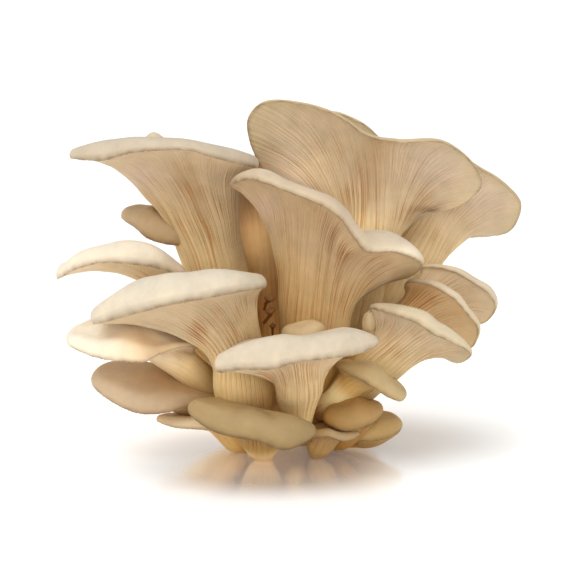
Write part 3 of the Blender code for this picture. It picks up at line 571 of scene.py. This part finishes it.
def skin(plan, gills, seed):
    """The gill side (fine columns) and the cap side (every fourth column) of a mushroom."""
    turns = uneven_turns(gills * len(SLOT_KINDS), seed)
    rim, heights, length = even_rim(plan["rim"], turns)
    up = unit(np.cross(rim, np.roll(rim, -1, axis=0)).sum(axis=0))
    middle = rim.mean(axis=0)
    inward = middle - rim
    inward = unit(inward - (inward @ up)[:, None] * up)
    small = min(1.0, length / FULL_RIM)
    slow = ripple(turns, [(5, 11, 0.12 * small)], seed)[:, None]
    rim = rim + up * 0.6 * slow - inward * 0.7 * slow
    scallop = ripple(turns, [(16, 34, 0.10 * small), (60, 130, 0.09)], seed + 8)[:, None]
    jagged = rim + up * 0.8 * scallop
    axis, side, deep = neck_frame(plan)
    angles = angles_round(rim, turns, side, deep)
    stem = stem_rings(plan, angles)
    neck = np.array(plan["stem"][-1][:3], float)
    rise = (rim - neck) @ axis
    out = (rim - neck) - rise[:, None] * axis
    reach = np.linalg.norm(out, axis=1)
    follow = plan.get("rise", FLARE_RISE) * np.maximum(rise, 0.3 * reach)
    leave = stem[-1] + axis * follow[:, None]
    arrive = rim - out * plan.get("reach", FLARE_REACH) - up * (0.05 * reach)[:, None]
    flare = bend(stem[-1][None], leave[None], arrive[None], jagged[None],
                 FLARE_PLACES[:, None, None])
    under = np.concatenate([stem, flare])
    pick = np.arange(0, len(turns), SLOT_STEPS)
    edge, high, inner = rim[pick], heights[pick][:, None], inward[pick]
    swell = ripple(turns[pick], [(3, 9, 1.0)], seed + 7)
    high = high * plan.get("crest", CREST_HEIGHT) * (1 + 0.03 * swell)[:, None]
    turn = np.radians(MARGIN_TURNS)[:, None, None]
    start = math.radians(MARGIN_START)
    fading = np.exp(-3 * np.arange(MARGIN_ROWS) / (MARGIN_ROWS - 1))[:, None, None]
    crenate = (up * 0.8 * scallop)[pick] * fading
    margin = (edge + crenate + up * high * (np.sin(turn) - math.sin(start)) / (1 - math.sin(start))
              + inner * high * plan.get("inset", CREST_INSET) * (math.cos(start) - np.cos(turn)))
    crest = margin[-1]
    hub = np.array(plan["hub"], float)
    span = np.linalg.norm(hub - crest, axis=1)[:, None]
    top = bend(crest[None], (crest + inner * 0.4 * span)[None], (hub - inner * 0.35 * span)[None],
               hub[None, None], TOP_PLACES[:, None, None])
    over = np.concatenate([margin, top])
    olive = 1 - step_up(THIN, THICK, heights)
    return under, over, hub, turns, olive


def grid_normals(rows):
    """The direction that the skin faces at each of its points."""
    across = np.roll(rows, -1, axis=1) - np.roll(rows, 1, axis=1)
    down = np.gradient(rows, axis=0)
    return unit(np.cross(across, down))


def gill_pattern(under, gills, calm, seed):
    """Ridge height and groove depth, 0 to 1, of each row and column of the gill side, and how
    far up each row is: -1 at the root, 0 at the top of the stem and 1 at the margin.
    """
    chance = np.random.default_rng(seed + 3)
    slots = gills * len(SLOT_KINDS)
    starts = np.choose(np.tile(SLOT_KINDS, gills),
                       [chance.uniform(low, high, slots) for low, high in GILL_STARTS])
    climb = np.concatenate([STEM_PLACES - 1, FLARE_PLACES])[:, None]
    shown = step_up(0, 0.16, climb - starts[None, :])
    own = chance.uniform(0.45, 1.0, slots)
    strength = np.repeat(shown * own, SLOT_STEPS, axis=1)
    height = np.tile(RIDGE, slots)[None, :] * strength
    half = SLOT_STEPS // 2
    beside = np.maximum(np.roll(strength, half, axis=1), np.roll(strength, -half, axis=1))
    tallest = np.maximum(beside, strength)
    deeper = np.repeat(chance.uniform(0.35, 1.0, slots) ** 1.5, SLOT_STEPS)
    faint = np.clip(0.65 + 0.45 * patchy(under, 17, seed + 12), 0.15, 1.2)
    groove = (tallest - height) * np.roll(deeper, half)[None, :] * faint
    groove = groove * (1 - 0.65 * calm[None, :] * step_up(0.25, 0.7, climb))
    return height, groove, climb


def inner_warmth_and_shade(places):
    """The flesh is browner and darker towards the crowded middle of the bunch: partly its own colour
    near the base, partly painted shade.
    """
    away = np.linalg.norm((places - WARM_MIDDLE) * WARM_SHAPE, axis=-1)
    return mixed(np.array(WARM_AND_SHADE) + np.zeros_like(places), np.ones(3), step_up(*WARM_FADE, away))


def nearness(places, middle, reach):
    """1 in the middle of a patch, fading to almost nothing at twice its reach."""
    away = (((places - np.array(middle)) / np.array(reach)) ** 2).sum(axis=-1)
    return np.exp(-away)


def patched(places, patches):
    """What the stains and the painted light and shade patches multiply the flesh by."""
    total = np.ones_like(places)
    for middle, reach, factor in patches:
        share = nearness(places, middle, reach)
        total = total * mixed(np.ones_like(places), np.array(factor), share)
    return total


def painted_glow_at(places, name):
    """How strongly the flesh glows at each place: painted light, as if light came through it."""
    total = np.zeros(places.shape[:-1])
    for middle, reach, strength in PAINTED_GLOW_SPOTS.get(name, []):
        total = total + strength * nearness(places, middle, reach)
    return total


def under_look(under, gills, olive, line, ribs, tint, stem_tint, seed, patches):
    """Moves the gill side into ridges and gives each point its colour.

    olive is 1 where the margin is thin, line is how strongly its brown line shows, and ribs how
    far the ribs stand out. Gills that reach far from the stem calm down towards the margin.
    """
    reach = np.linalg.norm(under[-1] - under[len(STEM_PLACES) - 1].mean(axis=0), axis=1)
    calm = step_up(34, 56, reach)
    height, groove, climb = gill_pattern(under, gills, calm, seed)
    normal = grid_normals(under)
    along = unit(np.gradient(under, axis=0))
    across = unit(np.cross(normal, along))
    sway = 0.3 * patchy(under, 24, seed + 13) * step_up(-0.9, -0.2, climb)
    sway = sway * (1 - step_up(0.75, 1.0, climb))
    lumps = 0.3 * patchy(under, 16, seed + 11) * (1 - step_up(0.8, 1.0, climb))
    spacing = np.linalg.norm(np.roll(under, -SLOT_STEPS, axis=1) - under, axis=2)
    deep = np.minimum(0.85, 1.0 * spacing) * ribs
    fade = step_up(-1.05, -0.55, climb) * (0.55 + 0.45 * step_up(-0.3, 0.2, climb))
    fade = fade * (1 - 0.85 * step_up(0.62, 0.97, climb))
    lift = (height - 0.5) * deep * fade + lumps
    moved = under + normal * lift[..., None] + across * sway[..., None]
    blank = np.zeros_like(height)
    tone = linear(GILL_LOW) + np.zeros_like(under)
    tone = mixed(tone, linear(GILL), step_up(0.02, 0.7, climb + 0.10 * patchy(under, 30, seed)))
    tone = mixed(tone, linear(STEM), 1 - step_up(-0.35, 0.15, climb) + blank)
    tone = mixed(tone, linear(ROOT), 0.8 * (1 - step_up(-1.0, -0.45, climb)) + blank)
    tone = mixed(tone, linear(GILL_EDGE), olive[None, :] * step_up(0.80, 0.97, climb) + blank)
    # Painted shade: the flesh turns darker and browner deep in the grooves between the gills.
    shade = linear(GROOVE_SHADE) / linear(GILL)
    tone = mixed(tone, tone * shade, 2.1 * groove * ribs * np.maximum(fade, 0.15))
    spots = patchy(under * np.array([1, 1, 0.35]), 16, seed + 5)
    stained = np.clip(spots - 0.25, 0, 1) * groove * step_up(0.1, 0.4, climb)
    stained = stained * (1 - step_up(0.7, 0.95, climb))
    tone = mixed(tone, linear(STAIN), 1.6 * ribs * stained)
    tone = tone * (1 + 0.03 * patchy(under, 9, seed + 14))[..., None]
    stem_share = step_up(-0.4, 0.1, climb) + blank
    tone = tone * mixed(stem_tint + np.zeros_like(under), np.asarray(tint), stem_share)
    # Dark patches, stains and painted shade, sink into the grooves, and lighter ones, painted light
    # among them, lie evenly. Towards the middle of the bunch the flesh turns browner and darker,
    # partly painted shade.
    sunk = np.clip(0.6 + 1.7 * groove * np.minimum(ribs, 1), 0, 1.8)[..., None]
    tone = tone * inner_warmth_and_shade(under) * np.where(patches < 1, patches ** sunk, patches)
    ends = np.tile(LINE_ACROSS_SLOT, gills * len(SLOT_KINDS))[None, :]
    broken = (0.75 + 0.25 * patchy(under, 5, seed + 15)) * ends * line
    tone = mixed(tone, linear(MARGIN_LINE), broken * step_up(0.978, 1.0, climb))
    return moved, tone


def over_look(over, turns, olive, line, tint, seed):
    """Gives the cap soft dents and each point of it its colour.

    inner is how far in each row is: 0 at the margin's edge, 0.15 at its crest, 1 at the hub.
    """
    share = (MARGIN_TURNS - MARGIN_START) / (MARGIN_END - MARGIN_START)
    inner = np.concatenate([0.15 * share, 0.15 + 0.85 * TOP_PLACES])[:, None]
    blank = np.zeros(over.shape[:2])
    dents = 0.12 * patchy(over, 26, seed + 21) + 0.04 * patchy(over, 7, seed + 22)
    dents = dents * step_up(0.02, 0.3, inner)
    fibres = ripple(turns[::SLOT_STEPS], [(20, 60, 1.0)], seed + 23)[None, :]
    moved = over + grid_normals(over) * dents[..., None]
    tone = linear(CAP) + np.zeros_like(over)
    tone = mixed(tone, linear(CAP_EDGE), 1 - step_up(0.0, 0.14, inner) + blank)
    tone = tone * (1 + 0.006 * fibres + 0.03 * patchy(over, 12, seed + 24))[..., None]
    thin = olive[None, ::SLOT_STEPS] * (1 - step_up(0.1, 0.3, inner))
    tone = mixed(tone, linear(GILL_EDGE), 0.8 * thin)
    # Browner and darker towards the middle of the bunch, partly painted shade.
    tone = tone * np.asarray(tint) * inner_warmth_and_shade(over)
    broken = (0.75 + 0.25 * patchy(over, 5, seed + 15)) * line
    tone = mixed(tone, linear(MARGIN_LINE), broken * (1 - step_up(0.0, 0.03, inner)))
    return moved, tone


def woven(under, over, root, hub):
    """Points and faces of one closed skin."""
    fine = under.shape[1]
    coarse = over.shape[1]
    points = np.concatenate([root[None], under.reshape(-1, 3), over.reshape(-1, 3), hub[None]])
    fine_ids = 1 + np.arange(under.shape[0] * fine).reshape(-1, fine)
    over_ids = 1 + fine_ids.size + np.arange(over.shape[0] * coarse).reshape(-1, coarse)
    faces = []
    turned = np.roll(fine_ids, -1, axis=1)
    faces.append(np.stack([fine_ids[:-1], turned[:-1], turned[1:], fine_ids[1:]], -1).reshape(-1, 4))
    around = np.roll(over_ids, -1, axis=1)
    faces.append(np.stack([over_ids[:-1], around[:-1], around[1:], over_ids[1:]], -1).reshape(-1, 4))
    last = fine_ids[-1]
    stack = [np.roll(last, -step)[::SLOT_STEPS] for step in range(SLOT_STEPS + 1)]
    faces.append(np.stack(stack + [around[0], over_ids[0]], -1))
    faces.append(np.stack([np.zeros_like(turned[0]), turned[0], fine_ids[0]], -1))
    faces.append(np.stack([over_ids[-1], around[-1], np.full_like(around[-1], len(points) - 1)], -1))
    return points, faces


def make_mesh(name, points, faces, tones, painted_glow):
    """One smooth object, with a colour and a painted glow (painted light) for each point."""
    mesh = bpy.data.meshes.new(name)
    mesh.vertices.add(len(points))
    mesh.vertices.foreach_set("co", (points * MM).astype(np.float32).ravel())
    corners = np.concatenate([group.ravel() for group in faces]).astype(np.int32)
    sizes = np.concatenate([np.full(len(group), group.shape[1]) for group in faces])
    starts = np.concatenate([[0], np.cumsum(sizes)[:-1]]).astype(np.int32)
    mesh.loops.add(len(corners))
    mesh.loops.foreach_set("vertex_index", corners)
    mesh.polygons.add(len(sizes))
    mesh.polygons.foreach_set("loop_start", starts)
    mesh.update(calc_edges=True)
    paint = mesh.color_attributes.new("tint", "FLOAT_COLOR", "POINT")
    tones = tones / np.maximum(tones.max(axis=1, keepdims=True), 1)
    full = np.concatenate([tones, np.ones((len(tones), 1))], axis=1)
    paint.data.foreach_set("color", full.astype(np.float32).ravel())
    painted_glow_layer = mesh.attributes.new("painted_glow", "FLOAT", "POINT")
    painted_glow_layer.data.foreach_set("value", painted_glow.astype(np.float32))
    mesh.validate()
    mesh.shade_smooth()
    item = bpy.data.objects.new(name, mesh)
    bpy.context.scene.collection.objects.link(item)
    return item


def set_inputs(node, values):
    """Sets a shader node's inputs, each by its name or number."""
    for socket, value in values.items():
        node.inputs[socket].default_value = value


def link(tree, source, output, target, socket):
    """Leads one node's output to another node's input."""
    tree.links.new(source.outputs[output], target.inputs[socket])


def attribute(tree, name):
    """What the skin's points carry under this name."""
    node = tree.nodes.new("ShaderNodeAttribute")
    node.attribute_name = name
    return node


def noise(tree, place, values):
    """Fine irregular patches, fixed to the object."""
    node = tree.nodes.new("ShaderNodeTexNoise")
    set_inputs(node, values)
    link(tree, place, "Object", node, "Vector")
    return node


def stretch(tree, source, output, values):
    """Turns the range of a node's output into another one: from, from, to, to."""
    node = tree.nodes.new("ShaderNodeMapRange")
    set_inputs(node, dict(zip(["From Min", "From Max", "To Min", "To Max"], values)))
    link(tree, source, output, node, "Value")
    return node


def two_colours(tree, kind, values):
    """Brings two colours together, at MIX_FIRST and MIX_SECOND, into MIX_RESULT."""
    node = tree.nodes.new("ShaderNodeMix")
    node.data_type = "RGBA"
    node.blend_type = kind
    set_inputs(node, values)
    return node


def distance_from(tree, place, middle):
    """How far each place on the floor is from a point on it, in metres."""
    node = tree.nodes.new("ShaderNodeVectorMath")
    node.operation = "DISTANCE"
    node.inputs[1].default_value = [part * MM for part in middle]
    link(tree, place, "Object", node, "Vector")
    return node


def new_paint(name):
    """A material, its node tree and its shader."""
    paint = bpy.data.materials.new(name)
    paint.use_nodes = True
    return paint, paint.node_tree, paint.node_tree.nodes["Principled BSDF"]


def flesh():
    """Mushroom flesh: the skin's own tint with fine mottling, soft light under the surface."""
    paint, tree, shader = new_paint("flesh")
    place = tree.nodes.new("ShaderNodeTexCoord")
    tint = attribute(tree, "tint")
    mottle = noise(tree, place, {"Scale": 240, "Detail": 6, "Roughness": 0.6})
    shade = stretch(tree, mottle, "Fac", (0.25, 0.75, 0.92, 1.06))
    mix = two_colours(tree, "MULTIPLY", {"Factor": 1.0})
    link(tree, tint, "Color", mix, MIX_FIRST)
    link(tree, shade, "Result", mix, MIX_SECOND)
    link(tree, mix, MIX_RESULT, shader, "Base Color")
    # Painted light: the flesh glows in its own tint as strongly as the skin's glow value says.
    link(tree, tint, "Color", shader, "Emission Color")
    link(tree, attribute(tree, "painted_glow"), "Fac", shader, "Emission Strength")
    grain = noise(tree, place, {"Scale": 1300, "Detail": 3})
    bump = tree.nodes.new("ShaderNodeBump")
    set_inputs(bump, {"Strength": 0.15, "Distance": 0.0006})
    link(tree, grain, "Fac", bump, "Height")
    link(tree, bump, "Normal", shader, "Normal")
    set_inputs(shader, {"Roughness": 0.55, "Specular IOR Level": 0.3, "Subsurface Weight": 0.3,
                        "Subsurface Radius": (1.0, 0.6, 0.32), "Subsurface Scale": 0.003})
    return paint


def grow(name, plan, paint, seed):
    """One mushroom, in the place of its CAD node."""
    gills = GILLS.get(name, USUAL_GILLS)
    ribs = RIBS.get(name, 1.0)
    line = BUD_LINE if "bud" in name else 1.0
    tint = TINTS.get(name, (1, 1, 1))
    cap_tint = CAP_TINTS.get(name, tint)
    stem_tint = STEM_TINTS.get(name, np.minimum(tint, 1))
    under, over, hub, turns, olive = skin(plan, gills, seed)
    # Stains and painted light and shade on the gill side and the caps.
    under_patches = patched(under, STAINS_AND_PAINTED_LIGHT.get(name, []))
    over_patches = patched(over, CAP_PAINTED_LIGHT.get(name, []))
    under, under_tone = under_look(under, gills, olive, line, ribs, tint, stem_tint, seed,
                                   under_patches)
    over, over_tone = over_look(over, turns, olive, line, cap_tint, seed)
    over_tone = over_tone * over_patches
    root = np.array(plan["stem"][0][:3], float)
    points, faces = woven(under, over, root, hub)
    points[:, 2] = np.maximum(points[:, 2], 0.0)
    tones = np.concatenate([under_tone[0, :1], under_tone.reshape(-1, 3),
                            over_tone.reshape(-1, 3), over_tone[-1, :1]])
    # Painted light: how strongly each point of the skin glows.
    painted_glow = painted_glow_at(points, name)
    item = make_mesh(name + "_skin", points, faces, tones, painted_glow)
    item.data.materials.append(paint)
    node = plan.get("node", name)
    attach(item, "root")
    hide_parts(node)


def grow_base(paint):
    """The short block of grown-together flesh, cut flat below."""
    rows = curve_through(np.array(BASE_LEVELS, float), np.linspace(0, 1, BASE_ROWS), False)
    height, right, back, wide, deep = rows.T[:, :, None]
    angles = 2 * math.pi * np.arange(BASE_COLUMNS) / BASE_COLUMNS
    lump = (1 + 0.06 * np.sin(3 * angles[None] + 0.2 * height) + 0.04 * np.sin(5 * angles)[None])
    ring = np.stack([right + wide * lump * np.cos(angles), back + deep * lump * np.sin(angles),
                     height + 0 * lump], -1)
    rough = 0.5 * patchy(ring, 9, BASE_SEED + 1) + 0.25 * patchy(ring, 3.5, BASE_SEED + 2)
    ring = ring + grid_normals(ring) * (rough * step_up(0, 1.5, ring[..., 2]))[..., None]
    ring[..., 2] = np.maximum(ring[..., 2], 0)
    tone = linear(ROOT) * (1 + 0.08 * patchy(ring, 6, BASE_SEED + 3))[..., None]
    # Painted shadow in the crevice by the right feet.
    tone = tone * patched(ring, STAINS_AND_PAINTED_LIGHT["base"])
    ids = 1 + np.arange(BASE_ROWS * BASE_COLUMNS).reshape(-1, BASE_COLUMNS)
    turned = np.roll(ids, -1, axis=1)
    first = np.array([rows[0, 1], rows[0, 2], 0])
    last = np.array([rows[-1, 1], rows[-1, 2], rows[-1, 0] + 2])
    points = np.concatenate([first[None], ring.reshape(-1, 3), last[None]])
    faces = [np.stack([ids[:-1], turned[:-1], turned[1:], ids[1:]], -1).reshape(-1, 4),
             np.stack([np.zeros_like(turned[0]), turned[0], ids[0]], -1),
             np.stack([ids[-1], turned[-1], np.full_like(ids[-1], len(points) - 1)], -1)]
    tones = np.concatenate([tone[0, :1], tone.reshape(-1, 3), tone[-1, :1]])
    item = make_mesh("base_skin", points, faces, tones, np.zeros(len(points)))
    item.data.materials.append(paint)
    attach(item, "root")
    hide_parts("base")


def camera():
    """At the viewer's distance and height, a little above the bunch."""
    aim = np.array([0, 0, AIM_HEIGHT]) * MM
    lift = math.radians(CAMERA_LIFT)
    lens = bpy.data.cameras.new("camera")
    lens.lens = LENS
    lens.sensor_width = SENSOR_WIDTH
    lens.clip_end = SIGHT
    item = bpy.data.objects.new("camera", lens)
    item.location = aim + CAMERA_AWAY * MM * np.array([0, -math.cos(lift), math.sin(lift)])
    item.rotation_euler = (math.pi / 2 - lift, 0, 0)
    bpy.context.scene.collection.objects.link(item)
    bpy.context.scene.camera = item


def sun(name, way, strength, spread):
    """Sunlight that comes from the given way, with edges as soft as its spread in degrees."""
    light = bpy.data.lights.new(name, "SUN")
    light.energy = strength
    light.angle = math.radians(spread)
    light.color = SUNLIGHT
    item = bpy.data.objects.new(name, light)
    flat = math.hypot(way[0], way[1])
    item.rotation_euler = (math.atan2(flat, way[2]), 0, math.atan2(-way[0], way[1]) + math.pi)
    bpy.context.scene.collection.objects.link(item)


def lights():
    """Pale surroundings, a broad light from the upper left and a weaker one from the front."""
    world = bpy.data.worlds.new("studio")
    world.use_nodes = True
    set_inputs(world.node_tree.nodes["Background"], {"Color": (1, 1, 1, 1), "Strength": 0.62})
    bpy.context.scene.world = world
    bpy.context.scene.view_settings.view_transform = "Standard"
    sun("key", (-0.75, -0.6, 1.2), 1.1, 45)
    sun("fill", (0.15, -1.0, 0.25), 0.6, 30)


def floor_paint():
    """Pale, glowing faintly away from the bunch, glossy and a little warmer in front of it, the
    warmth being painted shade and reflection.
    """
    paint, tree, shader = new_paint("floor")
    set_inputs(shader, {"Roughness": 0.15, "Emission Color": (1, 1, 1, 1)})
    place = tree.nodes.new("ShaderNodeTexCoord")
    front = distance_from(tree, place, FRONT_MIDDLE)
    right = distance_from(tree, place, RIGHT_MIDDLE)
    nearest = tree.nodes.new("ShaderNodeMath")
    nearest.operation = "MINIMUM"
    link(tree, front, "Value", nearest, 0)
    link(tree, right, "Value", nearest, 1)
    gloss = stretch(tree, front, "Value", (0.026, 0.062, 0.72, 0.0))
    gloss.interpolation_type = "SMOOTHSTEP"
    glow = stretch(tree, nearest, "Value", (0.022, 0.085, 0.09, 0.45))
    glow.interpolation_type = "SMOOTHSTEP"
    # Painted warm shade and reflection in front of the bunch.
    colour = two_colours(tree, "MIX", {MIX_FIRST: FLOOR_PALE, MIX_SECOND: FLOOR_WARM_SHADE})
    link(tree, gloss, "Result", colour, "Factor")
    link(tree, colour, MIX_RESULT, shader, "Base Color")
    link(tree, gloss, "Result", shader, "Metallic")
    link(tree, glow, "Result", shader, "Emission Strength")
    return paint


def lay_floor():
    """A wide flat floor under the bunch."""
    mesh = bpy.data.meshes.new("floor")
    mesh.from_pydata([(-FLOOR_HALF, -FLOOR_HALF, 0), (FLOOR_HALF, -FLOOR_HALF, 0),
                      (FLOOR_HALF, FLOOR_HALF, 0), (-FLOOR_HALF, FLOOR_HALF, 0)], [],
                     [(0, 1, 2, 3)])
    mesh.materials.append(floor_paint())
    floor = bpy.data.objects.new("floor", mesh)
    bpy.context.scene.collection.objects.link(floor)


camera()
lights()
lay_floor()
shared = flesh()
for number, (name, plan) in enumerate({**MUSHROOMS, **TINY_BUDS}.items()):
    grow(name, plan, shared, FIRST_SEED + SEED_STEP * number)
grow_base(shared)
